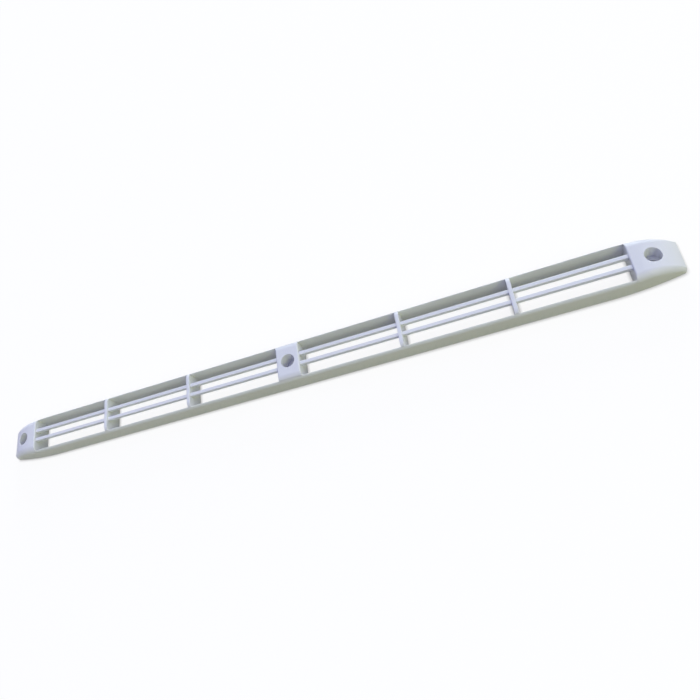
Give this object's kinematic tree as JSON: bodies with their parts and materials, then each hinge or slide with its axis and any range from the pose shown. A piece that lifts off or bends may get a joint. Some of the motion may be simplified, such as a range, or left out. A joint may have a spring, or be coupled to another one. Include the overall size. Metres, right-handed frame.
{
  "type": "flat ventilation grille",
  "caption": "Long flat boat-ended air grille with slender lengthwise bars on cross ribs, a centre block and counterbored screw holes.",
  "frame": {"origin": "middle of the flat back that lies against the wall", "axes": "+X along the grille, +Y across it, +Z out of the wall towards the front"},
  "size_m": [0.4, 0.023, 0.0125],
  "materials": {
    "white_plastic": "satin moulded white plastic"
  },
  "bodies": {
    "root": {"left_end_block": "white_plastic", "right_end_block": "white_plastic", "centre_block": "white_plastic", "upper_side_rail": "white_plastic", "lower_side_rail": "white_plastic", "outer_left_rib": "white_plastic", "inner_left_rib": "white_plastic", "inner_right_rib": "white_plastic", "outer_right_rib": "white_plastic", "upper_left_bar": "white_plastic", "lower_left_bar": "white_plastic", "upper_right_bar": "white_plastic", "lower_right_bar": "white_plastic"}
  },
  "joints": []
}
